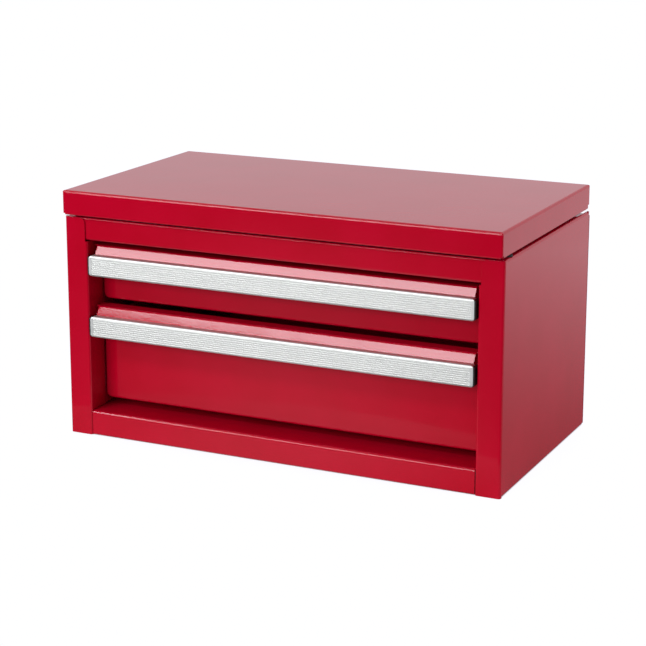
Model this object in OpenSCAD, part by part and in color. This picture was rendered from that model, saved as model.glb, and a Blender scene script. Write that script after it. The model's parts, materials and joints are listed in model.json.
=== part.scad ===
// Portable tool box: a folded steel case with two ball-bearing drawers under a hinged lid and tray.
// Millimetres. Origin under the middle of the box, on the surface it stands on.
// +X is to the right, the front faces -Y and +Z is up.

/* [Case] */
// Width over the side panels
case_w = 275; // [230:1:340]
// Depth from the post faces to the back panel
case_d = 147; // [120:1:190]
// Height of the case without the lid
case_h = 133.2; // [110:0.2:175]
// Thickness of all folded steel
sheet = 0.8; // [0.6:0.1:1]
// Inside radius of the ordinary bends
bend_r = 0.7; // [0.5:0.1:1]
// Height of the floor pan over the standing surface
floor_h = 15; // [12:0.5:22]

/* [Posts and rails] */
// Width of each front post
post_w = 14.9; // [13.5:0.1:20]
// Depth of the post's return flange
post_return = 15.8; // [14:0.1:22]
// Radius of the post's top inner corner
post_corner_r = 3.4; // [2:0.1:5]
// Height of the rail above the upper drawer
top_rail_h = 13.6; // [12:0.1:22]
// Distance of the bottom rail behind the post faces
rail_setback = 0.4; // [0.2:0.1:1]

/* [Lid] */
// Height of the lid over its flanges
lid_h = 14.6; // [13:0.1:26]
// Gap between the lid's flanges and the case
lid_gap = 1.4; // [1:0.1:2.5]
// Overhang of the lid in front of the posts
lid_overhang = 2.9; // [2:0.1:6]
// Distance of the lid's sides inside the case's sides
lid_inset = 0.5; // [0:0.1:1]
// Radius of the front flange's lower corners
lid_corner_r = 2.2; // [1.5:0.1:4]
// Angle at which the lid comes to rest on the back panel
lid_stop_angle = 100; // [90:1:110]

/* [Lid hinge] */
// Radius of the hinge barrel
barrel_r = 2; // [1.8:0.1:2.4]
// Radius of the hinge pin
pin_r = 1.2; // [1:0.05:1.3]
// Length of one knuckle and its gap
knuckle_pitch = 12; // [8:1:16]
// Number of knuckles along the hinge
knuckle_count = 20; // [16:2:22]
// Height of each hinge leaf from the pin
leaf_h = 12; // [11:0.5:12.5]

/* [Drawers] */
// Distance of the drawer faces behind the post faces
drawer_recess = 15.5; // [14.5:0.5:17]
// Height of the upper drawer's front
upper_front_h = 34.5; // [30:0.1:42]
// Gap between the top rail and the upper drawer
top_gap = 3.5; // [3:0.1:6]
// Gap between the two drawers
middle_gap = 2.6; // [2:0.1:6]
// Gap between the lower drawer and the floor pan
floor_gap = 4.7; // [3:0.1:8]
// Gap between a drawer front and the post beside it
front_side_gap = 0.6; // [0.5:0.1:1.5]
// Gap behind the drawer trays
back_gap = 6.5; // [5:0.5:15]
// Radius of the fronts' lower corners
front_corner_r = 3.5; // [2.5:0.1:5]

/* [Pulls] */
// Height of the aluminium pulls
pull_h = 12.5; // [11.5:0.1:14]
// Distance of the pulls in front of the post faces
pull_proud = 1.5; // [0.5:0.1:2.5]
// Drop from the drawer's top flange to the top of its pull
pull_drop = 5; // [4.6:0.1:5.6]
// Gap between the end of a pull and the post beside it
pull_side_gap = 1.6; // [1.4:0.1:3]
// Thickness of the moulded caps on the ends of the pulls
pull_cap_t = 0.8; // [0.6:0.1:1]
// Number of ridges along the pull's face
ridge_count = 8; // [5:1:8]
// Distance between the ridges
ridge_pitch = 1.2; // [1:0.05:1.25]
// Depth of the grooves between the ridges
ridge_depth = 0.35; // [0.2:0.05:0.5]

/* [Slides] */
// Height of the ball-bearing slides
slide_h = 17; // [16:0.5:19]
// Thickness of the ball-bearing slides
slide_t = 10; // [9.6:0.1:11]
// Thickness of the rolled slide rails
rail_t = 0.8; // [0.7:0.05:0.9]
// Diameter of the slide balls
ball_d = 2.8; // [2.4:0.1:3]
// Distance between the balls in the cage
ball_pitch = 9.8; // [7:0.1:14]
// Length of slide that stays engaged with the drawer pulled out
slide_overlap = 32.5; // [25:0.5:45]

/* [Liners] */
// Thickness of the foam liners
liner_t = 1.5; // [1:0.1:3]

/* [Hidden] */
$fn = 48;

bend_steps = 6;
fit = 0.05;             // clearance all round a pin or rivet in its hole
slip = 0.2;             // clearance between pieces that are welded or laid together
overcut = 1;

bend_mid = bend_r + sheet / 2;
bend_out = bend_r + sheet;
seam_r = 1;             // outside radius of the upright seams where two walls meet
hem_mid = 0.6;
hem_out = hem_mid + sheet / 2;
hem_depth = 5;

opening_w = case_w - 2 * post_w;
inside_w = case_w - 2 * sheet;
rail_bottom = case_h - top_rail_h;
upper_top = rail_bottom - top_gap;
upper_bottom = upper_top - upper_front_h;
lower_top = upper_bottom - middle_gap;
lower_bottom = floor_h + floor_gap;

rear_flange = 11;       // width of the side panels' rear flanges
foot_flange = post_w - sheet;
top_flange = 6;
corner_relief = 2.5;    // length at each corner that the rolled edges leave free
edge_zone = 4;          // height of wall that belongs to a rolled edge

rivet_r = 1;
rivet_head_r = 1.8;
rivet_head_h = 0.8;
rivet_tail_h = 0.6;
rivet_inset = 10;
rivet_count = 6;

pivot_y = case_d - sheet - barrel_r;
pivot_z = case_h + lid_gap / 2;
hinge_l = knuckle_pitch * knuckle_count;
rear_offset = case_d - pivot_y;
stop_gap = rear_offset * tan(lid_stop_angle / 2);
leaf_y = case_d - 2 * sheet;
leaf_relief = barrel_r + 0.4;
rivet_drop = 7.5;       // distance of the hinge rivets from the pin

lid_w = case_w - 2 * lid_inset;
lid_bottom = case_h + lid_gap;
lid_top = lid_bottom + lid_h;

box_d = lid_overhang + case_d + rivet_head_h;
front_y = lid_overhang - box_d / 2;

tray_front = sheet + fit;
tray_back = case_d - 3.6;
tray_w = case_w - 2 * bend_out;
tray_side_top = case_h - sheet - 0.6;
tray_back_top = pivot_z - barrel_r - 1;

slide_x = opening_w / 2 + 0.5;
slide_front = drawer_recess + 3;
slide_back = case_d - 11;
slide_l = slide_back - slide_front;
slide_travel = slide_l - slide_overlap;
inner_front_gap = 0.5;
carrier_front = post_return + 1.3;
carrier_back = slide_back + 2;
carrier_foot = 8;

front_w = opening_w - 2 * front_side_gap;
drawer_tray_w = 2 * (slide_x - slide_t);
drawer_tray_front = drawer_recess + sheet;
drawer_tray_back = case_d - sheet - back_gap - hem_out * 2;
drawer_tray_lift = sheet;
drawer_tray_drop = 4.6;

side_return = 2.2;      // depth of the fronts' edges that turn back at the sides
foot_return = 7;        // and under the tray
head_h = 5;             // height over which the head of a front is formed
lip_y = 3.5;            // centre of the turned-down lip that carries the pull
lip_front = lip_y - sheet / 2;
slope_run = 3;
lip_sink = 0.6;         // depth of the lip's bend below the top of the pull
slope_drop = pull_drop + lip_sink - sheet / 2;
lip_trim = 2.5;         // length by which the slope and the lip stop short of the top flange

pull_wall = 1.2;        // thickness of the pull's front wall
pull_web = 1;           // and of its upper and lower walls
pull_jaw = 0.8;
pull_back = lip_y + sheet / 2 + 1;
pull_w = opening_w - 2 * pull_side_gap;
pull_corner_r = 2;
lip_h = pull_h - lip_sink - pull_web - fit;
ridge_margin = 1.6;
cap_w = pull_w + 2 * pull_cap_t;
cap_plug_l = 4;

ball_r = ball_d / 2;
race_gap = 0.12;
race_r = ball_r + race_gap;
ball_x = 3.9;
ball_z = slide_h / 2 - rail_t - race_r;
race_lip_angle = 25;
cage_t = 0.4;
cage_web_x = rail_t + 0.2;
cage_reach = 6.2;
cage_end_gap = 8;
cage_stop_gap = 0.2;    // clearance of the cage from its stops at both ends of its travel
cage_stop_w = 5;
cage_stop_h = 1.2;
cage_front = slide_front + slide_travel / 2 + rail_t + 2 * cage_stop_gap;
cage_l = slide_l - slide_travel / 2 - cage_end_gap;
cage_end_margin = 3;
ball_count = floor((cage_l - 2 * cage_end_margin) / ball_pitch) + 1;

bumper_r = 2.8;
bumper_y = 12;

weld_dish_r = 12;       // radius of the electrode that leaves a shallow dish at each spot weld
weld_depth = 0.15;
weld_inset = 6;
weld_margin = 14;
weld_count = 5;

steel_red = [0.72, 0.06, 0.13];
steel_red_inside = [0.62, 0.04, 0.1];
zinc = [0.72, 0.73, 0.74];
aluminium = [0.84, 0.84, 0.84];
rubber = [0.08, 0.08, 0.08];
black_plastic = [0.06, 0.06, 0.06];
foam = [0.13, 0.13, 0.14];
ball_steel = [0.85, 0.86, 0.88];

// ---- outlines ----

function unit(v) = v / norm(v);
function left_of(u) = [-u[1], u[0]];
function turn_between(u, v) = atan2(u[0] * v[1] - u[1] * v[0], u * v);
function reversed(list) = [for (i = [len(list) - 1:-1:0]) list[i]];
function radius_at(radii, i) = is_list(radii) ? radii[i - 1] : radii;
function arc(centre, r, start, sweep) =
    [for (i = [0:bend_steps]) let (a = start + sweep * i / bend_steps) centre + r * [cos(a), sin(a)]];

// Points of one face of a bent strip round corner i of its centre line
function bend(path, i, r, side, t) =
    let (u = unit(path[i] - path[i - 1]),
         v = unit(path[i + 1] - path[i]),
         turn = turn_between(u, v),
         way = sign(turn),
         out = -way * left_of(u),
         centre = path[i] - u * r * tan(abs(turn) / 2) - out * r)
    arc(centre, r - side * way * t / 2, atan2(out[1], out[0]), turn);

function strip_face(path, radii, side, t) =
    let (last = len(path) - 1,
         first_out = left_of(unit(path[1] - path[0])) * side * t / 2,
         last_out = left_of(unit(path[last] - path[last - 1])) * side * t / 2)
    concat([path[0] + first_out],
           [for (i = [1:last - 1]) each bend(path, i, radius_at(radii, i), side, t)],
           [path[last] + last_out]);

// Section of a folded strip: its centre line, the centre radius of each bend and its thickness
module strip(path, radii = bend_mid, t = sheet)
    polygon(concat(strip_face(path, radii, 1, t), reversed(strip_face(path, radii, -1, t))));

// Rectangle with rounded upper corners
module arched(a0, a1, b0, b1, r) {
    translate([a0, b0]) square([a1 - a0, b1 - b0 - r]);
    translate([a0 + r, b0]) square([a1 - a0 - 2 * r, b1 - b0]);
    for (a = [a0 + r, a1 - r])
        translate([a, b1 - r]) circle(r);
}

// What a corner of radius r leaves of the square round it; its arc is centred on the origin
module corner_waste(r)
    difference() {
        square(r + overcut);
        circle(r);
    }

// The same for a folded bend, whose arc is drawn in steps
module bend_waste(r)
    polygon(concat([[r + overcut, 0], [r + overcut, r + overcut], [0, r + overcut]],
        arc([0, 0], r, 90, -90)));

// Rectangle with four rounded corners, centred in width
module rounded_plate(w, y0, y1, r)
    for (x = [-w / 2 + r, w / 2 - r], y = [y0 + r, y1 - r]) {
        translate([x, y]) circle(r);
        translate([-w / 2, y0 + r]) square([w, y1 - y0 - 2 * r]);
        translate([-w / 2 + r, y0]) square([w - 2 * r, y1 - y0]);
    }

// ---- extrusions along each axis; outlines are drawn as seen with +Z up ----

module along_x(x0, x1) translate([x0, 0, 0]) rotate([90, 0, 90]) linear_extrude(x1 - x0) children();
module along_y(y0, y1) translate([0, y1, 0]) rotate([90, 0, 0]) linear_extrude(y1 - y0) children();
module along_z(z0, z1) translate([0, 0, z0]) linear_extrude(z1 - z0) children();

module block(x0, x1, y0, y1, z0, z1) translate([x0, y0, z0]) cube([x1 - x0, y1 - y0, z1 - z0]);
module both_sides() { children(); mirror([1, 0, 0]) children(); }
module upside_down(z) translate([0, 0, z]) mirror([0, 0, 1]) children();
module turned_down(b) translate([0, b]) mirror([0, 1]) children();
module placed() translate([0, front_y, 0]) children();

// Block whose four upper edges are rounded, the form of a folded cover
module cover_block(w, y0, y1, z0, z1, r)
    intersection() {
        along_y(y0, y1) arched(-w / 2, w / 2, z0, z1, r);
        along_x(-w / 2, w / 2) arched(y0, y1, z0, z1, r);
    }

// Shell folded from one sheet: a top with four walls down, welded and dressed at the upright seams
module cover(w, y0, y1, z0, z1)
    difference() {
        intersection() {
            cover_block(w, y0, y1, z0, z1, bend_out);
            along_z(z0, z1) rounded_plate(w, y0, y1, seam_r);
        }
        cover_block(w - 2 * sheet, y0 + sheet, y1 - sheet, z0 - overcut, z1 - sheet, bend_r);
    }

// Shell folded from one sheet: a floor with four walls up
module pan(w, y0, y1, z0, z1) upside_down(z0 + z1) cover(w, y0, y1, z0, z1);

// Folded-back edge of a wall at [a, b], which comes from below and turns to the side given by way
module hem(a, b, way, depth = hem_depth)
    strip([[a, b - hem_out], [a, b - sheet / 2], [a + way * 2 * hem_mid, b - sheet / 2],
        [a + way * 2 * hem_mid, b - depth]], hem_mid);

// ---- case ----

module left_side()
    difference() {
        union() {
            difference() {
                along_z(0, case_h) strip([
                    [-opening_w / 2 - sheet / 2, post_return],
                    [-opening_w / 2 - sheet / 2, sheet / 2],
                    [-case_w / 2 + sheet / 2, sheet / 2],
                    [-case_w / 2 + sheet / 2, case_d - 1.5 * sheet],
                    [-case_w / 2 + rear_flange, case_d - 1.5 * sheet]]);
                for (z = [-overcut, case_h - edge_zone])
                    block(-case_w / 2 - overcut, -inside_w / 2, corner_relief, case_d - corner_relief - sheet,
                        z, z + edge_zone + overcut);
            }
            along_y(corner_relief, case_d - corner_relief - sheet) {
                strip([[-case_w / 2 + sheet / 2, edge_zone],
                    [-case_w / 2 + sheet / 2, sheet / 2],
                    [-case_w / 2 + sheet + foot_flange, sheet / 2]]);
                strip([[-case_w / 2 + sheet / 2, case_h - edge_zone],
                    [-case_w / 2 + sheet / 2, case_h - sheet / 2],
                    [-case_w / 2 + top_flange, case_h - sheet / 2]]);
            }
        }
        // The return flange stops under the top rail, where the tray's front passes behind the post
        block(-opening_w / 2 - bend_out, -opening_w / 2 + overcut, -overcut, post_return + overcut,
            rail_bottom - slip - 0.6, case_h + overcut);
        // and over the floor pan
        block(-opening_w / 2 - 2 * sheet, -opening_w / 2 + overcut, corner_relief - sheet,
            post_return + overcut, -overcut, floor_h + slip);
        along_y(-overcut, bend_out)
            translate([-opening_w / 2 - bend_out - post_corner_r, case_h - post_corner_r])
                corner_waste(post_corner_r);
        // Behind the foot flange the corner is dressed to the same round
        along_y(case_d - corner_relief - sheet, case_d + overcut)
            translate([-case_w / 2 + bend_out, bend_out]) rotate(180) bend_waste(bend_out);
        // The top flange stops in front of the hinge
        block(-case_w / 2 + bend_out, 0, pivot_y - 6, case_d, case_h - edge_zone + overcut, case_h + overcut);
    }

module left_side_panel() color(steel_red) placed() left_side();
module right_side_panel() color(steel_red) placed() mirror([1, 0, 0]) left_side();

module rivet_holes(y0, y1, z)
    for (i = [0:rivet_count - 1])
        translate([rivet_x(i), y0, z]) rotate([-90, 0, 0]) cylinder(h = y1 - y0, r = rivet_r + fit);

function rivet_x(i) = -hinge_l / 2 + rivet_inset + i * (hinge_l - 2 * rivet_inset) / (rivet_count - 1);

module rivets(z)
    for (i = [0:rivet_count - 1])
        translate([rivet_x(i), case_d, z]) rotate([90, 0, 0]) rivet();

// Rivet through two sheets, its head above z = 0 on the far side
module rivet() {
    head_sphere = (pow(rivet_head_r, 2) + pow(rivet_head_h, 2)) / (2 * rivet_head_h);
    translate([0, 0, -rivet_head_h])
        intersection() {
            translate([0, 0, head_sphere]) sphere(head_sphere);
            cylinder(h = rivet_head_h, r = rivet_head_r + overcut);
        }
    translate([0, 0, -0.1]) cylinder(h = 2 * sheet + 0.1 + rivet_tail_h, r = rivet_r);
    translate([0, 0, 2 * sheet]) cylinder(h = rivet_tail_h, r = rivet_r * 1.5);
}

// Dishes of the spot welds that hold the back panel to the side panels' rear flanges
module weld_marks(z0, z1)
    for (i = [0:weld_count - 1], x = [-case_w / 2 + weld_inset, case_w / 2 - weld_inset])
        translate([x, case_d + weld_dish_r - weld_depth, z0 + i * (z1 - z0) / (weld_count - 1)])
            sphere(weld_dish_r);

module back_panel() {
    back_top = pivot_z - stop_gap;
    color(steel_red) placed()
        difference() {
            block(-case_w / 2 + slip, case_w / 2 - slip, case_d - sheet, case_d, sheet, back_top);
            rivet_holes(case_d - 2 * sheet, case_d + overcut, pivot_z - rivet_drop);
            weld_marks(weld_margin, back_top - weld_margin);
        }
}

module floor_pan() {
    floor_mid = floor_h - sheet / 2;
    foot_mid = sheet / 2;
    rail_mid = rail_setback + sheet / 2;
    rear_mid = case_d - 2.5 * sheet;
    wall_x = inside_w / 2 - slip - sheet / 2;
    color(steel_red) placed() {
        along_x(-opening_w / 2 + slip, opening_w / 2 - slip)
            strip([[12, foot_mid], [rail_mid, foot_mid], [rail_mid, floor_mid],
                [rear_mid, floor_mid], [rear_mid, foot_mid], [rear_mid - 12, foot_mid]]);
        along_y(corner_relief, case_d - 3 * sheet)
            strip([[-wall_x, edge_zone], [-wall_x, floor_mid], [wall_x, floor_mid], [wall_x, edge_zone]]);
    }
}

module top_tray()
    color(steel_red) placed() {
        difference() {
            pan(tray_w, tray_front, tray_back, rail_bottom, case_h);
            block(-case_w / 2, case_w / 2, tray_front - overcut, tray_back, case_h - hem_out,
                case_h + overcut);
            block(-case_w / 2, case_w / 2, tray_front + sheet + bend_r, case_d, tray_side_top,
                case_h + overcut);
            block(-case_w / 2, case_w / 2, tray_back - sheet - overcut, case_d, tray_back_top,
                case_h + overcut);
        }
        // the hem ends at the side panels' top flanges
        along_x(-case_w / 2 + top_flange + slip, case_w / 2 - top_flange - slip)
            hem(tray_front + sheet / 2, case_h, 1);
    }

module top_tray_liner()
    color(foam) placed()
        along_z(rail_bottom + sheet, rail_bottom + sheet + liner_t)
            rounded_plate(tray_w - 2 * bend_out - 1, tray_front + bend_out + 0.6,
                tray_back - bend_out - 0.6, 3);

module left_carrier() {
    foot_x = -inside_w / 2 + slip + sheet / 2;
    web_x = -slide_x - sheet / 2;
    along_z(floor_h + 0.6, rail_bottom - 0.8)
        strip([[foot_x, carrier_front + carrier_foot], [foot_x, carrier_front + sheet / 2],
            [web_x, carrier_front + sheet / 2], [web_x, carrier_back - sheet / 2],
            [foot_x, carrier_back - sheet / 2], [foot_x, carrier_back - carrier_foot]]);
}
module left_slide_carrier() color(steel_red_inside) placed() left_carrier();
module right_slide_carrier() color(steel_red_inside) placed() mirror([1, 0, 0]) left_carrier();

module lid_bumpers()
    color(rubber) placed() both_sides()
        translate([-case_w / 2 + top_flange - bumper_r - 0.1, bumper_y, case_h])
            cylinder(h = lid_gap - 0.1, r = bumper_r);

// ---- lid and its hinge ----

module lid()
    color(steel_red) placed()
        difference() {
            union() {
                cover(lid_w, -lid_overhang, case_d, lid_bottom + hem_out, lid_top);
                along_x(-lid_w / 2 + bend_out, lid_w / 2 - bend_out)
                    turned_down(lid_bottom) hem(-lid_overhang + sheet / 2, 0, 1);
                both_sides() along_y(-lid_overhang + bend_out, case_d - sheet)
                    turned_down(lid_bottom) hem(-lid_w / 2 + sheet / 2, 0, 1);
            }
            // The back stops above the hinge, and the sides are cut clear of its swing
            block(-case_w / 2, case_w / 2, case_d - 1.5 * sheet, case_d + overcut,
                lid_bottom - overcut, pivot_z + stop_gap);
            block(-case_w / 2, case_w / 2, pivot_y, case_d + overcut,
                lid_bottom - overcut, pivot_z + stop_gap);
            rivet_holes(case_d - 2 * sheet, case_d + overcut, pivot_z + rivet_drop);
            both_sides() along_y(-lid_overhang - overcut, -lid_overhang + 2 * hem_out + fit)
                translate([-lid_w / 2 + lid_corner_r, lid_bottom + lid_corner_r]) rotate(180)
                    corner_waste(lid_corner_r);
        }

// One knuckle every pitch; parity 0 belongs to the case and parity 1 to the lid
module knuckles(parity)
    for (i = [parity:2:knuckle_count - 1])
        translate([-hinge_l / 2 + i * knuckle_pitch, 0, 0])
            children();

module hinge_leaf(parity, way)
    difference() {
        union() {
            block(-hinge_l / 2, hinge_l / 2, leaf_y, leaf_y + sheet,
                min(pivot_z, pivot_z + way * leaf_h), max(pivot_z, pivot_z + way * leaf_h));
            knuckles(parity)
                translate([0.1, pivot_y, pivot_z]) rotate([0, 90, 0])
                    cylinder(h = knuckle_pitch - 0.2, r = barrel_r);
        }
        knuckles(1 - parity)
            block(-0.1, knuckle_pitch + 0.1, leaf_y - overcut, case_d,
                pivot_z - leaf_relief, pivot_z + leaf_relief);
        translate([-hinge_l / 2 - overcut, pivot_y, pivot_z]) rotate([0, 90, 0])
            cylinder(h = hinge_l + 2 * overcut, r = pin_r + fit);
        rivet_holes(leaf_y - overcut, case_d, pivot_z + way * rivet_drop);
    }

module case_hinge_leaf() color(zinc) placed() hinge_leaf(0, -1);
module lid_hinge_leaf() color(zinc) placed() hinge_leaf(1, 1);
module case_hinge_rivets() color(zinc) placed() rivets(pivot_z - rivet_drop);
module lid_hinge_rivets() color(zinc) placed() rivets(pivot_z + rivet_drop);
module hinge_pin()
    color(zinc) placed()
        translate([-hinge_l / 2, pivot_y, pivot_z]) rotate([0, 90, 0])
            cylinder(h = hinge_l, r = pin_r);

// ---- drawers; each is drawn from the height of its lower edge and of its top flange ----

// The face turns back at its sides and foot. Its head turns forward into a flange, a slope and the lip.
module drawer_front(bottom, top) {
    face_mid = drawer_recess + sheet / 2;
    foot_mid = bottom + sheet / 2;
    side_mid = front_w / 2 - sheet / 2;
    straight = front_w / 2 - front_corner_r;
    head = top - head_h;
    color(steel_red) placed()
        difference() {
            union() {
                along_x(-front_w / 2, front_w / 2)
                    strip([[face_mid, head], [face_mid, top - sheet / 2],
                        [lip_y + slope_run, top - sheet / 2],
                        [lip_y, top - sheet / 2 - slope_drop],
                        [lip_y, top - sheet / 2 - slope_drop - lip_h]]);
                along_x(-straight, straight)
                    strip([[drawer_recess + foot_return, foot_mid], [face_mid, foot_mid], [face_mid, head]]);
                both_sides() {
                    along_z(bottom + front_corner_r, head)
                        strip([[straight, face_mid], [side_mid, face_mid],
                            [side_mid, drawer_recess + side_return]]);
                    translate([straight, drawer_recess, bottom + front_corner_r]) rotate([-90, 0, 0])
                        drawn_corner();
                }
            }
            both_sides() block(-front_w / 2 - overcut, -front_w / 2 + lip_trim,
                -overcut, lip_y + slope_run + bend_mid, bottom, top + overcut);
        }
}

// Quarter of the cup that joins the turned-back side and foot of a front
module drawn_corner()
    intersection() {
        rotate_extrude() strip([[0, sheet / 2], [front_corner_r - sheet / 2, sheet / 2],
            [front_corner_r - sheet / 2, side_return]]);
        cube([front_corner_r, front_corner_r, side_return]);
    }

module drawer_tray(bottom, top) {
    tray_bottom = bottom + drawer_tray_lift;
    tray_top = top - drawer_tray_drop;
    color(steel_red_inside) placed() {
        pan(drawer_tray_w, drawer_tray_front, drawer_tray_back, tray_bottom, tray_top - hem_out);
        both_sides() along_y(drawer_tray_front + bend_out, drawer_tray_back - bend_out)
            hem(-drawer_tray_w / 2 + sheet / 2, tray_top, -1, hem_depth - 1.5);
        along_x(-drawer_tray_w / 2 + bend_out, drawer_tray_w / 2 - bend_out)
            hem(drawer_tray_back - sheet / 2, tray_top, 1, hem_depth - 1.5);
    }
}

module drawer_liner(bottom)
    color(foam) placed()
        translate([0, 0, bottom + drawer_tray_lift + sheet]) linear_extrude(liner_t)
            rounded_plate(drawer_tray_w - 2 * bend_out - 0.6, drawer_tray_front + bend_out + 0.3,
                drawer_tray_back - bend_out - 0.3, 2);

// Section of the extruded pull. Its jaw bears on the front of the lip, and the lip's edge sits in its foot.
module pull_section(z_top) {
    front = -pull_proud;
    z_bottom = z_top - pull_h;
    foot_top = z_bottom + 3;
    difference() {
        union() {
            // front wall with rounded upper and lower edges
            translate([front + pull_wall, z_bottom + pull_wall]) circle(pull_wall);
            translate([front + pull_wall, z_top - pull_wall]) circle(pull_wall);
            translate([front, z_bottom + pull_wall]) square([pull_wall, pull_h - 2 * pull_wall]);
            // upper wall and the jaw that hangs from it
            translate([front + pull_wall, z_top - pull_web])
                square([lip_front - fit - front - pull_wall, pull_web]);
            translate([lip_front - fit - pull_jaw, z_top - 3]) square([pull_jaw, 3]);
            // lower wall and the foot that holds the lip's edge
            translate([front + pull_wall, z_bottom]) square([pull_back - front - pull_wall, pull_web]);
            translate([lip_front - fit - pull_jaw, z_bottom])
                square([pull_back - lip_front + fit + pull_jaw, foot_top - z_bottom]);
        }
        translate([lip_front - fit, z_bottom + pull_web]) square([sheet + 2 * fit, pull_h]);
    }
}

module pull_grooves(z_top)
    for (i = [0:ridge_count])
        translate([-pull_proud, z_top - pull_h / 2 + (i - ridge_count / 2) * ridge_pitch])
            rotate(45) square(ridge_depth * sqrt(2), center = true);

module drawer_pull(top) {
    z_top = top - pull_drop;
    color(aluminium) placed()
        intersection() {
            difference() {
                along_x(-pull_w / 2, pull_w / 2) pull_section(z_top);
                along_x(-pull_w / 2 + ridge_margin, pull_w / 2 - ridge_margin) pull_grooves(z_top);
            }
            along_y(-pull_proud - overcut, drawer_recess)
                rounded_plate(pull_w, z_top - pull_h, z_top, pull_corner_r);
        }
}

// Moulded cap on each end of a pull: a plate of the pull's outline and a plug that fills its hollow
module pull_caps(top) {
    z_top = top - pull_drop;
    z_bottom = z_top - pull_h;
    plug_front = pull_wall - pull_proud + fit;
    plug_back = lip_front - pull_jaw - 2 * fit;
    color(black_plastic) placed() both_sides()
        intersection() {
            union() {
                along_x(-cap_w / 2, -pull_w / 2)
                    translate([(pull_back - pull_proud) / 2, 0])
                        rounded_plate(pull_back + pull_proud, z_bottom, z_top, pull_wall);
                along_x(-pull_w / 2, -pull_w / 2 + cap_plug_l)
                    difference() {
                        translate([plug_front, z_bottom + pull_web + fit])
                            square([plug_back - plug_front, pull_h - 2 * (pull_web + fit)]);
                        for (z = [z_bottom + pull_wall, z_top - pull_wall])
                            translate([pull_wall - pull_proud, z]) circle(pull_wall + fit);
                    }
            }
            along_y(-pull_proud - overcut, drawer_recess)
                rounded_plate(cap_w, z_bottom, z_top, pull_corner_r);
        }
}

// ---- slides; sections are drawn with x from the carrier towards the drawer and y up ----

module race(start, sweep)
    difference() {
        circle(race_r + rail_t);
        circle(race_r);
        rotate(start + sweep) translate([-4 * ball_d, 0]) square(8 * ball_d);
        rotate(start) translate([-4 * ball_d, -8 * ball_d]) square(8 * ball_d);
    }

module mirrored_up() { children(); mirror([0, 1]) children(); }

module outer_section() {
    translate([0, -slide_h / 2]) square([rail_t, slide_h]);
    mirrored_up() {
        translate([0, slide_h / 2 - rail_t]) square([ball_x, rail_t]);
        translate([ball_x, ball_z]) race(race_lip_angle, 90 - race_lip_angle);
    }
}

module inner_section() {
    web_h = ball_z - race_r;
    translate([slide_t - rail_t, -web_h]) square([rail_t, 2 * web_h]);
    mirrored_up() {
        translate([ball_x, web_h - rail_t]) square([slide_t - ball_x, rail_t]);
        translate([ball_x, ball_z]) race(180 + race_lip_angle, 90 - race_lip_angle);
    }
}

module cage_section()
    mirrored_up() {
        translate([cage_web_x, 0]) square([cage_t, ball_z + cage_t / 2]);
        translate([cage_web_x, ball_z - cage_t / 2]) square([cage_reach - cage_web_x, cage_t]);
    }

// Places a slide section along the left carrier at height z
module on_left_carrier(z, y0, y1)
    translate([-slide_x, 0, z]) along_y(y0, y1) children();

function ball_y(i) = cage_front + cage_l / 2 + (i - (ball_count - 1) / 2) * ball_pitch;
function slide_z(bottom, top) = (bottom + drawer_tray_lift + top - drawer_tray_drop - hem_depth) / 2 + 0.5;

// The web is lanced twice, and the tabs bent out of it stop the ball cage
module outer_rail(z) {
    front_stop = cage_front - slide_travel / 2 - cage_stop_gap - rail_t;
    rear_stop = cage_front + cage_l + cage_stop_gap;
    difference() {
        on_left_carrier(z, slide_front, slide_back) outer_section();
        for (y = [front_stop + rail_t + cage_stop_gap, rear_stop - cage_stop_gap - cage_stop_h])
            block(-slide_x - overcut, -slide_x + rail_t + overcut / 2, y, y + cage_stop_h,
                z - cage_stop_w / 2, z + cage_stop_w / 2);
    }
    for (y = [front_stop, rear_stop])
        block(-slide_x, -slide_x + rail_t + cage_stop_h, y, y + rail_t,
            z - cage_stop_w / 2, z + cage_stop_w / 2);
}

module inner_rail(z)
    on_left_carrier(z, slide_front + inner_front_gap, slide_back - inner_front_gap) inner_section();

module ball_cage(z)
    difference() {
        on_left_carrier(z, cage_front, cage_front + cage_l) cage_section();
        for (i = [0:ball_count - 1])
            translate([-slide_x + ball_x, ball_y(i), z - slide_h / 2])
                cylinder(h = slide_h, r = ball_r + race_gap);
    }

module balls(z)
    for (i = [0:ball_count - 1], way = [-1, 1])
        translate([-slide_x + ball_x, ball_y(i), z + way * ball_z]) sphere(ball_r, $fn = 32);

upper_slide_z = slide_z(upper_bottom, upper_top);
lower_slide_z = slide_z(lower_bottom, lower_top);

module upper_left_outer_rail() color(zinc) placed() outer_rail(upper_slide_z);
module upper_right_outer_rail() color(zinc) placed() mirror([1, 0, 0]) outer_rail(upper_slide_z);
module lower_left_outer_rail() color(zinc) placed() outer_rail(lower_slide_z);
module lower_right_outer_rail() color(zinc) placed() mirror([1, 0, 0]) outer_rail(lower_slide_z);
module upper_left_inner_rail() color(zinc) placed() inner_rail(upper_slide_z);
module upper_right_inner_rail() color(zinc) placed() mirror([1, 0, 0]) inner_rail(upper_slide_z);
module lower_left_inner_rail() color(zinc) placed() inner_rail(lower_slide_z);
module lower_right_inner_rail() color(zinc) placed() mirror([1, 0, 0]) inner_rail(lower_slide_z);
module upper_left_ball_cage() color(zinc) placed() ball_cage(upper_slide_z);
module upper_right_ball_cage() color(zinc) placed() mirror([1, 0, 0]) ball_cage(upper_slide_z);
module lower_left_ball_cage() color(zinc) placed() ball_cage(lower_slide_z);
module lower_right_ball_cage() color(zinc) placed() mirror([1, 0, 0]) ball_cage(lower_slide_z);
module upper_slide_balls() color(ball_steel) placed() both_sides() balls(upper_slide_z);
module lower_slide_balls() color(ball_steel) placed() both_sides() balls(lower_slide_z);

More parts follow.
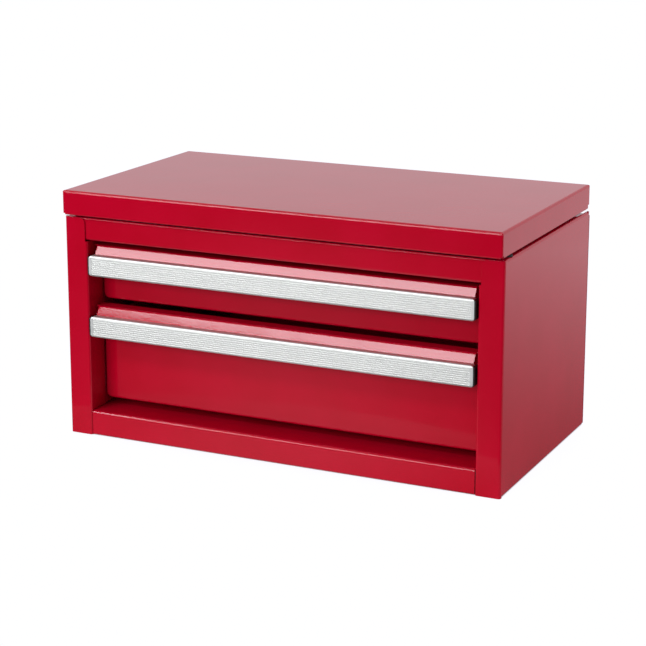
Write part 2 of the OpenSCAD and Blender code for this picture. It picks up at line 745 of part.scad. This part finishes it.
module upper_drawer_tray() drawer_tray(upper_bottom, upper_top);
module upper_drawer_front() drawer_front(upper_bottom, upper_top);
module upper_drawer_pull() drawer_pull(upper_top);
module upper_pull_caps() pull_caps(upper_top);
module upper_drawer_liner() drawer_liner(upper_bottom);
module lower_drawer_tray() drawer_tray(lower_bottom, lower_top);
module lower_drawer_front() drawer_front(lower_bottom, lower_top);
module lower_drawer_pull() drawer_pull(lower_top);
module lower_pull_caps() pull_caps(lower_top);
module lower_drawer_liner() drawer_liner(lower_bottom);

left_side_panel();
right_side_panel();
back_panel();
floor_pan();
top_tray();
left_slide_carrier();
right_slide_carrier();
case_hinge_leaf();
hinge_pin();
case_hinge_rivets();
lid_bumpers();
top_tray_liner();
lid();
lid_hinge_leaf();
lid_hinge_rivets();
upper_left_outer_rail();
upper_right_outer_rail();
lower_left_outer_rail();
lower_right_outer_rail();
upper_drawer_tray();
upper_drawer_front();
upper_drawer_pull();
upper_pull_caps();
upper_drawer_liner();
upper_left_inner_rail();
upper_right_inner_rail();
lower_drawer_tray();
lower_drawer_front();
lower_drawer_pull();
lower_pull_caps();
lower_drawer_liner();
lower_left_inner_rail();
lower_right_inner_rail();
upper_left_ball_cage();
upper_right_ball_cage();
upper_slide_balls();
lower_left_ball_cage();
lower_right_ball_cage();
lower_slide_balls();
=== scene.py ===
import json
import math

import bmesh
import bpy
from mathutils import Matrix, Vector


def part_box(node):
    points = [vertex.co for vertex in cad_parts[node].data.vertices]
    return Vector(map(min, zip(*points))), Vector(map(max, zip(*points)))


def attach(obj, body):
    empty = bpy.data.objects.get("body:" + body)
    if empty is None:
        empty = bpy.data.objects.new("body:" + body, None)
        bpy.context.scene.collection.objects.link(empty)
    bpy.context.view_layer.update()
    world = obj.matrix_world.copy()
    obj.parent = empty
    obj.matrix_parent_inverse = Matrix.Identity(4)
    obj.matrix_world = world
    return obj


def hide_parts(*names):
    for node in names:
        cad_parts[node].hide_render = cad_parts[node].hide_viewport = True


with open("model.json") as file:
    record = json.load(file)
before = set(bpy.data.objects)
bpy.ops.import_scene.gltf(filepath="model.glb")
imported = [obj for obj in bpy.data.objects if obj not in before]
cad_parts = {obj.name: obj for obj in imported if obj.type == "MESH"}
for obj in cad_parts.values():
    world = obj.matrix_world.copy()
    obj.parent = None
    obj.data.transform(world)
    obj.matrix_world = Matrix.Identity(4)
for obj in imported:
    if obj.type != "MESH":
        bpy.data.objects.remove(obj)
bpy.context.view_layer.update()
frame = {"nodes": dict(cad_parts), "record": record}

nodes = frame["nodes"]
mm = 0.001
hair = 0.001 * mm              # slack when edges and faces are picked by their place
print("frame loaded with", len(nodes), "nodes")


# camera, in metres and degrees, with the lens shifted down a little as on a view camera

camera = {
    "place": (0.467649, -0.992701, 0.360974),
    "azimuth": 25.3933,
    "elevation": 13.2228,
    "roll": 0.0174,
    "lens": 105.383,
    "sensor": 36,
    "shiftY": -60 / 646,
    "nearest": 0.05,
}


def makeCamera():
    azimuth, elevation, roll = (math.radians(camera[turn]) for turn in ("azimuth", "elevation", "roll"))
    back = Vector((math.sin(azimuth) * math.cos(elevation),
                   -math.cos(azimuth) * math.cos(elevation), math.sin(elevation)))
    right = Vector((math.cos(azimuth), math.sin(azimuth), 0))
    up = back.cross(right)
    turnedRight = math.cos(roll) * right + math.sin(roll) * up
    turnedUp = math.cos(roll) * up - math.sin(roll) * right
    data = bpy.data.cameras.new("boxCamera")
    data.sensor_width = camera["sensor"]
    data.lens = camera["lens"]
    data.shift_y = camera["shiftY"]
    data.clip_start = camera["nearest"]
    item = bpy.data.objects.new("boxCamera", data)
    bpy.context.scene.collection.objects.link(item)
    axes = Matrix((turnedRight, turnedUp, back)).transposed().to_4x4()
    item.matrix_world = Matrix.Translation(camera["place"]) @ axes
    bpy.context.scene.camera = item


makeCamera()
print("camera placed")


# nodes of a material; numbers and colours that stay the same are set on the shader itself

def startMaterial(name, **values):
    material = bpy.data.materials.new(name)
    material.use_nodes = True
    tree = material.node_tree
    shader = tree.nodes["Principled BSDF"]
    for socket, value in values.items():
        shader.inputs[socket.replace("_", " ")].default_value = value
    tree.nodes.new("ShaderNodeTexCoord").name = "place"
    return material, tree, shader


def noise(tree, scale, stretch=(1, 1, 1), detail=2):
    mapping = tree.nodes.new("ShaderNodeMapping")
    mapping.inputs["Scale"].default_value = stretch
    texture = tree.nodes.new("ShaderNodeTexNoise")
    texture.inputs["Scale"].default_value = scale
    texture.inputs["Detail"].default_value = detail
    tree.links.new(tree.nodes["place"].outputs["Object"], mapping.inputs["Vector"])
    tree.links.new(mapping.outputs["Vector"], texture.inputs["Vector"])
    return texture.outputs["Fac"]


def cells(tree, scale, output="Distance"):
    texture = tree.nodes.new("ShaderNodeTexVoronoi")
    texture.inputs["Scale"].default_value = scale
    tree.links.new(tree.nodes["place"].outputs["Object"], texture.inputs["Vector"])
    return texture.outputs[output]


def spread(tree, source, low, high, start=0.3, end=0.7):
    ranged = tree.nodes.new("ShaderNodeMapRange")
    ranged.inputs["From Min"].default_value = start
    ranged.inputs["From Max"].default_value = end
    ranged.inputs["To Min"].default_value = low
    ranged.inputs["To Max"].default_value = high
    tree.links.new(source, ranged.inputs["Value"])
    return ranged.outputs["Result"]


def twoTones(tree, source, low, high, start=0.3, end=0.7):
    ramp = tree.nodes.new("ShaderNodeValToRGB")
    ramp.color_ramp.elements[0].position = start
    ramp.color_ramp.elements[1].position = end
    ramp.color_ramp.elements[0].color = (*low, 1)
    ramp.color_ramp.elements[1].color = (*high, 1)
    tree.links.new(source, ramp.inputs["Fac"])
    return ramp.outputs["Color"]


def bump(tree, source, height, under=None):
    node = tree.nodes.new("ShaderNodeBump")
    node.inputs["Distance"].default_value = height
    tree.links.new(source, node.inputs["Height"])
    if under:
        tree.links.new(under, node.inputs["Normal"])
    return node.outputs["Normal"]


def softEdges(tree, radius):
    node = tree.nodes.new("ShaderNodeBevel")
    node.samples = 4
    node.inputs["Radius"].default_value = radius
    return node.outputs["Normal"]


def coat(tree, shader, tone, gloss, relief=None):
    tree.links.new(tone, shader.inputs["Base Color"])
    tree.links.new(gloss, shader.inputs["Roughness"])
    if relief:
        tree.links.new(relief, shader.inputs["Normal"])


redPaint = {
    "deep": (0.44, 0.0010, 0.0145),
    "bright": (0.475, 0.0014, 0.0185),
    "toneScale": 35,
    "gloss": (0.05, 0.08),     # roughness of its smoothest and dullest patches
    "glossScale": 60,
    "ior": 1.45,
    "peelScale": 900,          # orange peel of about a millimetre
    "peelHeight": 0.000006,
    "waveScale": 22,           # slow waves of the sheet
    "waveHeight": 0.0001,
    "edge": 0.00025,           # radius that the coat leaves on cut edges
}


def redPowderCoat():
    material, tree, shader = startMaterial("redPowderCoat", IOR=redPaint["ior"])
    patches = noise(tree, redPaint["toneScale"], detail=3)
    tone = twoTones(tree, patches, redPaint["deep"], redPaint["bright"])
    gloss = spread(tree, noise(tree, redPaint["glossScale"]), *redPaint["gloss"])
    edge = softEdges(tree, redPaint["edge"])
    wave = bump(tree, noise(tree, redPaint["waveScale"], detail=1), redPaint["waveHeight"], under=edge)
    peel = bump(tree, noise(tree, redPaint["peelScale"], detail=1), redPaint["peelHeight"], under=wave)
    coat(tree, shader, tone, gloss, peel)
    return material


zincPlate = {
    "dark": (0.56, 0.57, 0.58),
    "light": (0.72, 0.73, 0.73),
    "spangleScale": 420,
    "spangleRange": (0.1, 0.9),
    "rollScale": 300,          # fine lines along the slides
    "rollStretch": (1, 0.03, 1),
    "rollHeight": 0.00001,
    "gloss": (0.26, 0.4),
    "edge": 0.00015,
}


def brightZinc():
    material, tree, shader = startMaterial("brightZinc", Metallic=1.0)
    spangle = cells(tree, zincPlate["spangleScale"], "Color")
    tone = twoTones(tree, spangle, zincPlate["dark"], zincPlate["light"], *zincPlate["spangleRange"])
    rolled = noise(tree, zincPlate["rollScale"], stretch=zincPlate["rollStretch"], detail=3)
    gloss = spread(tree, rolled, *zincPlate["gloss"])
    edge = softEdges(tree, zincPlate["edge"])
    coat(tree, shader, tone, gloss, bump(tree, rolled, zincPlate["rollHeight"], under=edge))
    return material


pullMetal = {
    "dark": (0.83, 0.84, 0.805),
    "light": (0.87, 0.88, 0.843),
    "drawnScale": 450,         # drawn lines of the extrusion, along the pull
    "drawnStretch": (0.01, 1, 1),
    "drawnHeight": 0.000004,
    "gloss": (0.52, 0.58),
}


def satinAluminium():
    material, tree, shader = startMaterial("satinAluminium", Metallic=1.0)
    drawn = noise(tree, pullMetal["drawnScale"], stretch=pullMetal["drawnStretch"])
    tone = twoTones(tree, drawn, pullMetal["dark"], pullMetal["light"])
    gloss = spread(tree, drawn, *pullMetal["gloss"])
    coat(tree, shader, tone, gloss, bump(tree, drawn, pullMetal["drawnHeight"]))
    return material


bumperRubber = {
    "dark": (0.012, 0.012, 0.012),
    "light": (0.024, 0.024, 0.024),
    "grainScale": 1500,
    "grainHeight": 0.00002,
    "gloss": (0.55, 0.72),
    "specular": 0.25,
}


def blackRubber():
    material, tree, shader = startMaterial("blackRubber", Specular_IOR_Level=bumperRubber["specular"])
    grain = noise(tree, bumperRubber["grainScale"], detail=3)
    tone = twoTones(tree, grain, bumperRubber["dark"], bumperRubber["light"])
    gloss = spread(tree, grain, *bumperRubber["gloss"])
    coat(tree, shader, tone, gloss, bump(tree, grain, bumperRubber["grainHeight"]))
    return material


capPlastic = {
    "dark": (0.012, 0.012, 0.012),
    "light": (0.02, 0.02, 0.02),
    "grainScale": 900,
    "grainHeight": 0.000015,
    "gloss": (0.35, 0.48),
    "edge": 0.0002,
}


def blackPlastic():
    material, tree, shader = startMaterial("blackPlastic")
    grain = noise(tree, capPlastic["grainScale"], detail=3)
    tone = twoTones(tree, grain, capPlastic["dark"], capPlastic["light"])
    gloss = spread(tree, grain, *capPlastic["gloss"])
    edge = softEdges(tree, capPlastic["edge"])
    coat(tree, shader, tone, gloss, bump(tree, grain, capPlastic["grainHeight"], under=edge))
    return material


foamSkin = {
    "dark": (0.022, 0.022, 0.024),
    "light": (0.034, 0.034, 0.037),
    "toneScale": 40,
    "poreScale": 1300,
    "poreHeight": 0.00012,
    "gloss": (0.78, 0.95),
    "sheenAndPaintedGlow": 0.15,
    "sheenRoughness": 0.5,
}


def linerFoam():
    material, tree, shader = startMaterial("linerFoam", Sheen_Weight=foamSkin["sheenAndPaintedGlow"],
                                           Sheen_Roughness=foamSkin["sheenRoughness"])
    pores = cells(tree, foamSkin["poreScale"])
    patches = noise(tree, foamSkin["toneScale"], detail=4)
    tone = twoTones(tree, patches, foamSkin["dark"], foamSkin["light"])
    gloss = spread(tree, pores, *foamSkin["gloss"])
    coat(tree, shader, tone, gloss, bump(tree, pores, foamSkin["poreHeight"]))
    return material


ballSteel = {
    "dark": (0.7, 0.71, 0.73),
    "light": (0.82, 0.83, 0.85),
    "smearScale": 500,
    "gloss": (0.08, 0.2),
}


def bearingSteel():
    material, tree, shader = startMaterial("bearingSteel", Metallic=1.0)
    smear = noise(tree, ballSteel["smearScale"], detail=3)
    tone = twoTones(tree, smear, ballSteel["dark"], ballSteel["light"])
    coat(tree, shader, tone, spread(tree, smear, *ballSteel["gloss"]))
    return material


finishes = {
    "red_paint": redPowderCoat(),
    "zinc_steel": brightZinc(),
    "aluminium": satinAluminium(),
    "rubber": blackRubber(),
    "black_plastic": blackPlastic(),
    "foam": linerFoam(),
    "ball_steel": bearingSteel(),
}
for part in frame["record"]["subparts"]:
    for slot in nodes[part["node"]].material_slots:
        slot.material = finishes[part["material_slot"]]
print("finishes on all nodes")


# pieces shaped here: foam and rubber in place of the plain ones, and the rivets of the slides

smoothAngle = math.radians(35)
facingShare = 0.99             # how squarely a face looks along an axis to be picked


def pickOnly(*items):
    bpy.ops.object.select_all(action="DESELECT")
    for item in items:
        item.select_set(True)
    bpy.context.view_layer.objects.active = items[0]


def shapeIn(item, *steps):
    pickOnly(item)
    bpy.ops.object.transform_apply(location=True, rotation=True, scale=True)
    bpy.ops.object.mode_set(mode="EDIT")
    for step in steps:
        step(item)
    bpy.ops.object.mode_set(mode="OBJECT")
    bpy.ops.object.shade_smooth_by_angle(angle=smoothAngle)


def pickFaces(item, wanted):
    bpy.ops.mesh.select_mode(type="FACE")
    bpy.ops.mesh.select_all(action="DESELECT")
    shape = bmesh.from_edit_mesh(item.data)
    for face in shape.faces:
        if wanted(face.calc_center_median(), face.normal):
            face.select_set(True)
    bmesh.update_edit_mesh(item.data)


def pickEdges(item, wanted):
    bpy.ops.mesh.select_mode(type="EDGE")
    bpy.ops.mesh.select_all(action="DESELECT")
    shape = bmesh.from_edit_mesh(item.data)
    for edge in shape.edges:
        if wanted(edge):
            edge.select_set(True)
    bmesh.update_edit_mesh(item.data)


def copyAside(item, shift):
    pickOnly(item)
    bpy.ops.object.duplicate()
    bpy.ops.transform.translate(value=shift)
    bpy.ops.object.transform_apply(location=True)
    return bpy.context.object


def joinUp(items):
    pickOnly(*items)
    bpy.ops.object.join()
    return bpy.context.object


def finishPiece(item, name, body, slot):
    item.name = name
    item.data.name = name
    item.data.materials.clear()
    item.data.materials.append(finishes[slot])
    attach(item, body)
    return item


linerSheet = {
    "rim": 3.5 * mm,           # plain border round the ribs
    "pitch": 4 * mm,           # from rib to rib
    "ribWide": 2.4 * mm,
    "ribHigh": 0.45 * mm,
    "flank": 0.35 * mm,        # a rib leans in by this much
    "flankShare": 0.7,         # over this share of its height,
    "crown": 0.3 * mm,         # and by this much over the rest
    "edge": 0.35 * mm,
    "sheets": {
        "topTrayFoam": {"node": "top_tray_liner", "body": "case", "corner": 3 * mm},
        "upperDrawerFoam": {"node": "upper_drawer_liner", "body": "upper_drawer", "corner": 2 * mm},
        "lowerDrawerFoam": {"node": "lower_drawer_liner", "body": "lower_drawer", "corner": 2 * mm},
    },
}


def makeLiner(name, sheet):
    low, high = (Vector(corner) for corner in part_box(sheet["node"]))
    rise = linerSheet["ribHigh"]
    size = high - low - Vector((0, 0, rise))
    bpy.ops.object.select_all(action="DESELECT")
    bpy.ops.mesh.primitive_cube_add(size=1, location=low + size / 2, scale=size)
    liner = bpy.context.object
    top = high.z - rise
    ribs = int((size.x - 2 * linerSheet["rim"]) / linerSheet["pitch"])
    first = (low.x + high.x) / 2 - (ribs - 1) * linerSheet["pitch"] / 2
    middles = [first + k * linerSheet["pitch"] for k in range(ribs)]
    half = linerSheet["ribWide"] / 2

    def roundCorners(item):
        pickEdges(item, lambda edge: abs(edge.verts[0].co.z - edge.verts[1].co.z) > size.z / 2)
        bpy.ops.mesh.bevel(offset=sheet["corner"], segments=4, profile=0.5, affect="EDGES")

    def softenRim(item):
        pickEdges(item, lambda edge: min(v.co.z for v in edge.verts) > top - hair)
        bpy.ops.mesh.bevel(offset=linerSheet["edge"], segments=2, profile=0.5, affect="EDGES")

    def cut(item, place, normal):
        bpy.ops.mesh.select_all(action="SELECT")
        bpy.ops.mesh.bisect(plane_co=place, plane_no=normal)

    def markRibs(item):
        for y in (low.y + linerSheet["rim"], high.y - linerSheet["rim"]):
            cut(item, (0, y, 0), (0, 1, 0))
        for middle in middles:
            for x in (middle - half, middle + half):
                cut(item, (x, 0, 0), (1, 0, 0))

    def onRib(centre, normal):
        inside = low.y + linerSheet["rim"] < centre.y < high.y - linerSheet["rim"]
        return normal.z > facingShare and inside and any(abs(centre.x - m) < hair for m in middles)

    def raiseRibs(item):
        pickFaces(item, onRib)
        share = linerSheet["flankShare"]
        bpy.ops.mesh.inset(thickness=linerSheet["flank"], depth=share * rise, use_individual=True)
        bpy.ops.mesh.inset(thickness=linerSheet["crown"], depth=(1 - share) * rise, use_individual=True)

    shapeIn(liner, roundCorners, softenRim, markRibs, raiseRibs)
    finishPiece(liner, name, sheet["body"], "foam")
    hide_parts(sheet["node"])


for name, sheet in linerSheet["sheets"].items():
    makeLiner(name, sheet)
print("foam sheets laid")


bumperButton = {
    "dome": 0.85 * mm,
    "ring": 0.35 * mm,         # flat ring round the dimple
    "slope": 0.3 * mm,         # width of the dimple's side
    "dimple": 0.25 * mm,
}


def makeBumpers():
    low, high = (Vector(corner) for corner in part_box("lid_bumpers"))
    radius = (high.y - low.y) / 2
    middle = Vector((low.x + radius, (low.y + high.y) / 2, (low.z + high.z) / 2))
    bpy.ops.object.select_all(action="DESELECT")
    bpy.ops.mesh.primitive_cylinder_add(vertices=40, radius=radius, depth=high.z - low.z,
                                        location=middle)
    button = bpy.context.object

    def domeTop(item):
        pickEdges(item, lambda edge: min(v.co.z for v in edge.verts) > high.z - hair)
        bpy.ops.mesh.bevel(offset=bumperButton["dome"], segments=5, profile=0.5, affect="EDGES")

    def sinkMiddle(item):
        pickFaces(item, lambda centre, normal: normal.z > facingShare and centre.z > high.z - hair)
        bpy.ops.mesh.inset(thickness=bumperButton["ring"])
        bpy.ops.mesh.inset(thickness=bumperButton["slope"], depth=-bumperButton["dimple"])

    shapeIn(button, domeTop, sinkMiddle)
    other = copyAside(button, (high.x - low.x - 2 * radius, 0, 0))
    bumpers = finishPiece(joinUp([button, other]), "lidBumperButtons", "case", "rubber")
    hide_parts("lid_bumpers")


makeBumpers()
print("bumpers pressed in")


railRivet = {
    "head": {"radius": 2.4 * mm, "high": 0.8 * mm, "dimple": 0.3 * mm},
    "tail": {"radius": 1.9 * mm, "high": 0.35 * mm, "dimple": 0.1 * mm},
    "dome": 0.6 * mm,
    "domeShare": 0.8,          # of its height at most, where an end is thin
    "ring": 0.4,               # flat ring round the dimple, as a share of the radius
    "slope": 0.1,              # width of the dimple's side, as a share of the radius
    "sheet": 0.8 * mm,         # the tray's wall, and the rail's web
    "margin": 6 * mm,          # kept free at both ends of the length that rail and tray share
    "spots": (0.14, 0.5, 0.86),  # shares of the length between the margins
}


# an end stands on the sheet at x = face and points out along +x (1) or -x (-1)

def makeRivetEnd(end, face, y, z, out):
    radius, high = end["radius"], end["high"]
    tip = face + out * high
    bpy.ops.object.select_all(action="DESELECT")
    bpy.ops.mesh.primitive_cylinder_add(vertices=24, radius=radius, depth=high,
                                        location=(face + out * high / 2, y, z),
                                        rotation=(0, out * math.pi / 2, 0))
    part = bpy.context.object

    def domeTip(item):
        pickEdges(item, lambda edge: max(abs(v.co.x - tip) for v in edge.verts) < hair)
        dome = min(railRivet["dome"], railRivet["domeShare"] * high)
        bpy.ops.mesh.bevel(offset=dome, segments=4, profile=0.5, affect="EDGES")

    def onTip(centre, normal):
        return out * normal.x > facingShare and abs(centre.x - tip) < hair

    def sinkTip(item):
        pickFaces(item, onTip)
        bpy.ops.mesh.inset(thickness=railRivet["ring"] * radius)
        bpy.ops.mesh.inset(thickness=railRivet["slope"] * radius, depth=-end["dimple"])

    shapeIn(part, domeTip, sinkTip)
    return part


def makeDrawerRivets(name, level):
    trayLow, trayHigh = (Vector(corner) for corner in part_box(level + "_drawer_tray"))
    rivets = []
    for side, word in ((1, "right"), (-1, "left")):
        low, high = (Vector(corner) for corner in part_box(f"{level}_{word}_inner_rail"))
        seam = min(abs(low.x), abs(high.x))   # where rail and tray meet
        z = (low.z + high.z) / 2
        start = max(low.y, trayLow.y) + railRivet["margin"]
        end = min(high.y, trayHigh.y) - railRivet["margin"]
        first, *rest = (start + (end - start) * spot for spot in railRivet["spots"])
        head = makeRivetEnd(railRivet["head"], side * (seam - railRivet["sheet"]), first, z, -side)
        tail = makeRivetEnd(railRivet["tail"], side * (seam + railRivet["sheet"]), first, z, side)
        rivet = joinUp([head, tail])
        rivets.append(rivet)
        for y in rest:
            rivets.append(copyAside(rivet, (0, y - first, 0)))
    finishPiece(joinUp(rivets), name, level + "_drawer", "zinc_steel")


makeDrawerRivets("upperDrawerRivets", "upper")
makeDrawerRivets("lowerDrawerRivets", "lower")
print("slides riveted to the drawers")


# floor, surroundings and lights

studio = {
    "tint": (1, 1, 1.06),      # a little on the blue side
    "fill": 0.4,               # light from all round
    "dark": 0.01,              # what gloss mirrors of the room in front of the box
    "back": 0.75,              # what it mirrors of the room behind the box
    "turn": (-0.35, 0.05),     # where front turns to back, in the y of a direction
    "counter": 0.56,           # what it mirrors of the pale counter low in front
    "counterDown": (-0.33, -0.185),  # z of a direction at its full glow, and where it ends
    "counterAside": (0.895, -0.446, 0),  # the way along the counter
    "counterHalf": (0.02, 0.12),  # how far along its glow is full, and has sunk to its ends'
    "counterEnds": 0.12,       # share of the glow that its ends have
    "aim": (0, 0, 0.07),       # what the softboxes point at
}

stage = {
    "radius": 0.42,
    "backShift": 0.27,         # the table ends a hand's width in front of the box
    "thick": 0.02,
    "white": 0.9,
    "shadeReach": 0.35,        # distance over which the box shades the floor
    "shadeSeen": (0.08, 0.5),  # open share of the sky where the shade is deepest, and where it ends
    "mirror": (0.18, 0.76),    # glow that gloss sees on the floor near the box, and far out: painted shade, darker near the box
    "mirrorFrom": (0.14, 0.6),  # distances from the box's middle that go with those
    "sheenAndPaintedGlow": 0.36,             # painted glow, seen only by gloss, of a patch just in front of the box
    "paintedGlowPlace": (-0.01, -0.12),
    "paintedGlowReach": (0.04, 0.14),  # from the patch's middle, where it starts to fade and is gone
}


def mathNode(tree, operation, first, second):
    node = tree.nodes.new("ShaderNodeMath")
    node.operation = operation
    for socket, value in zip(node.inputs, (first, second)):
        if isinstance(value, (int, float)):
            socket.default_value = value
        else:
            tree.links.new(value, socket)
    return node.outputs[0]


def rays(tree):
    path = tree.nodes.new("ShaderNodeLightPath")
    straight = mathNode(tree, "MAXIMUM", path.outputs["Is Camera Ray"],
                        path.outputs["Is Transmission Ray"])
    return straight, path.outputs["Is Glossy Ray"], path.outputs["Is Diffuse Ray"]


def distanceTo(tree, source, point):
    away = tree.nodes.new("ShaderNodeVectorMath")
    away.operation = "DISTANCE"
    away.inputs[1].default_value = point
    tree.links.new(source, away.inputs[0])
    return away.outputs["Value"]


# seen straight the floor is white but for the box's shade; for gloss it glows, with painted shade near
# the box and a painted glow patch just in front of it

def makeFloor():
    bpy.ops.object.select_all(action="DESELECT")
    bpy.ops.mesh.primitive_cylinder_add(vertices=96, radius=stage["radius"], depth=stage["thick"],
                                        location=(0, stage["backShift"], -stage["thick"] / 2))
    floor = bpy.context.object
    floor.name = "floor"
    material = bpy.data.materials.new("paleFloor")
    material.use_nodes = True
    tree = material.node_tree
    tree.nodes.remove(tree.nodes["Principled BSDF"])
    diffuse = tree.nodes.new("ShaderNodeBsdfDiffuse")
    diffuse.inputs["Color"].default_value = (stage["white"],) * 3 + (1,)
    openSky = tree.nodes.new("ShaderNodeAmbientOcclusion")
    openSky.inputs["Distance"].default_value = stage["shadeReach"]
    straight, glossy, _ = rays(tree)
    shade = spread(tree, openSky.outputs["AO"], 0, 1, *stage["shadeSeen"])
    seen = mathNode(tree, "MULTIPLY", straight, shade)
    place = tree.nodes.new("ShaderNodeTexCoord").outputs["Object"]
    middle = Vector((0, -stage["backShift"], stage["thick"] / 2))
    # the floor's glow for gloss is painted darker near the box, as painted shade in its reflections
    glowPaintedShadeNearBox = spread(tree, distanceTo(tree, place, middle), *stage["mirror"], *stage["mirrorFrom"])
    # a painted glow patch just in front of the box, seen only by gloss, for a painted reflection on the
    # box's front
    paintedGlowPatch = distanceTo(tree, place, middle + Vector((*stage["paintedGlowPlace"], 0)))
    paintedGlowPatch = spread(tree, paintedGlowPatch, stage["sheenAndPaintedGlow"], 0, *stage["paintedGlowReach"])
    mirrored = mathNode(tree, "MULTIPLY", glossy, mathNode(tree, "ADD", glowPaintedShadeNearBox, paintedGlowPatch))
    glow = tree.nodes.new("ShaderNodeEmission")
    glow.inputs["Color"].default_value = (*studio["tint"], 1)
    mixed = tree.nodes.new("ShaderNodeMixShader")
    tree.links.new(mathNode(tree, "MAXIMUM", straight, mirrored), glow.inputs["Strength"])
    tree.links.new(mathNode(tree, "MAXIMUM", seen, glossy), mixed.inputs["Fac"])
    tree.links.new(diffuse.outputs[0], mixed.inputs[1])
    tree.links.new(glow.outputs[0], mixed.inputs[2])
    tree.links.new(mixed.outputs[0], tree.nodes["Material Output"].inputs["Surface"])
    floor.data.materials.append(material)


# seen straight the room is white, gloss sees its back and the counter, and the rest is fill

def makeWorld():
    world = bpy.data.worlds.new("studio")
    world.use_nodes = True
    bpy.context.scene.world = world
    tree = world.node_tree
    tree.nodes.clear()
    straight, glossy, diffuse = rays(tree)
    direction = tree.nodes.new("ShaderNodeTexCoord").outputs["Generated"]
    axes = tree.nodes.new("ShaderNodeSeparateXYZ")
    tree.links.new(direction, axes.inputs[0])
    aside = tree.nodes.new("ShaderNodeVectorMath")
    aside.operation = "DOT_PRODUCT"
    aside.inputs[1].default_value = studio["counterAside"]
    tree.links.new(direction, aside.inputs[0])
    offMiddle = mathNode(tree, "ABSOLUTE", aside.outputs["Value"], 0)
    along = spread(tree, offMiddle, 1, studio["counterEnds"], *studio["counterHalf"])
    counter = spread(tree, axes.outputs["Z"], studio["counter"], studio["dark"], *studio["counterDown"])
    counter = mathNode(tree, "MULTIPLY", counter, along)
    room = spread(tree, axes.outputs["Y"], studio["dark"], studio["back"], *studio["turn"])
    room = mathNode(tree, "MAXIMUM", room, counter)
    shown = mathNode(tree, "MAXIMUM", straight, mathNode(tree, "MULTIPLY", glossy, room))
    lit = mathNode(tree, "MULTIPLY", diffuse, studio["fill"])
    background = tree.nodes.new("ShaderNodeBackground")
    background.inputs["Color"].default_value = (*studio["tint"], 1)
    output = tree.nodes.new("ShaderNodeOutputWorld")
    tree.links.new(mathNode(tree, "MAXIMUM", shown, lit), background.inputs["Strength"])
    tree.links.new(background.outputs[0], output.inputs["Surface"])


softboxes = {
    "keySoftbox": {"place": (-0.58, -0.91, 0.97), "size": (0.62, 0.19), "power": 4, "roll": 17},
    "frontSoftbox": {"place": (-0.45, -1.27, 0.46), "size": (0.8, 0.5), "power": 10.1, "roll": 0},
    "sideSoftbox": {"place": (1.26, 0.11, 0.66), "size": (0.6, 0.6), "power": 5.6, "roll": 0},
    "backSoftbox": {"place": (0.26, 0.96, 1.06), "size": (0.8, 0.5), "power": 3, "roll": 0},
}


def makeLights():
    aim = Vector(studio["aim"])
    for name, box in softboxes.items():
        light = bpy.data.lights.new(name, "AREA")
        light.shape = "RECTANGLE"
        light.size, light.size_y = box["size"]
        light.energy = box["power"]
        light.color = studio["tint"]
        item = bpy.data.objects.new(name, light)
        bpy.context.scene.collection.objects.link(item)
        item.location = box["place"]
        facing = (aim - item.location).to_track_quat("-Z", "Y").to_matrix()
        item.rotation_euler = (facing @ Matrix.Rotation(math.radians(box["roll"]), 3, "Z")).to_euler()


bpy.context.scene.view_settings.view_transform = "Standard"
makeFloor()
makeWorld()
makeLights()
print("floor and lights ready")
